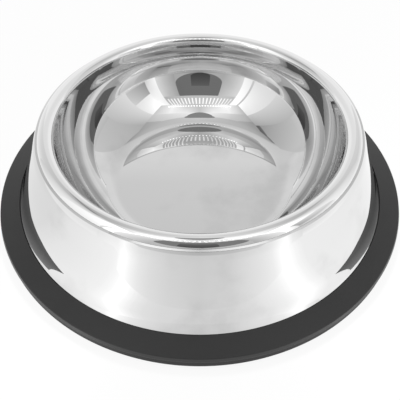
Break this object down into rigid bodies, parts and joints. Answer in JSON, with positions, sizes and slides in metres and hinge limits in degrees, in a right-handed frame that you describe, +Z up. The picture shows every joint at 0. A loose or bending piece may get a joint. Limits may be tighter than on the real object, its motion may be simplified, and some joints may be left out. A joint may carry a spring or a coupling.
{
  "type": "non-skid pet bowl",
  "caption": "Round low pet bowl: a polished steel food dish in a flared steel skirt, standing on a black rubber ring that keeps it from sliding.",
  "frame": {"origin": "on the bowl's axis, in the plane of the floor that the rubber ring stands on", "axes": "+Z up along the bowl's axis, out of the dish's mouth; +X and +Y are free because the bowl is a body of revolution"},
  "size_m": [0.2198, 0.2198, 0.0523],
  "materials": {
    "dish_steel": "mirror-polished stainless sheet, bright inside and over the rim",
    "skirt_steel": "mirror-polished stainless sheet",
    "ring_rubber": "moulded black rubber with a satin skin"
  },
  "bodies": {
    "root": {"food_dish": "dish_steel", "flared_skirt": "skirt_steel", "rubber_base_ring": "ring_rubber"}
  },
  "joints": []
}
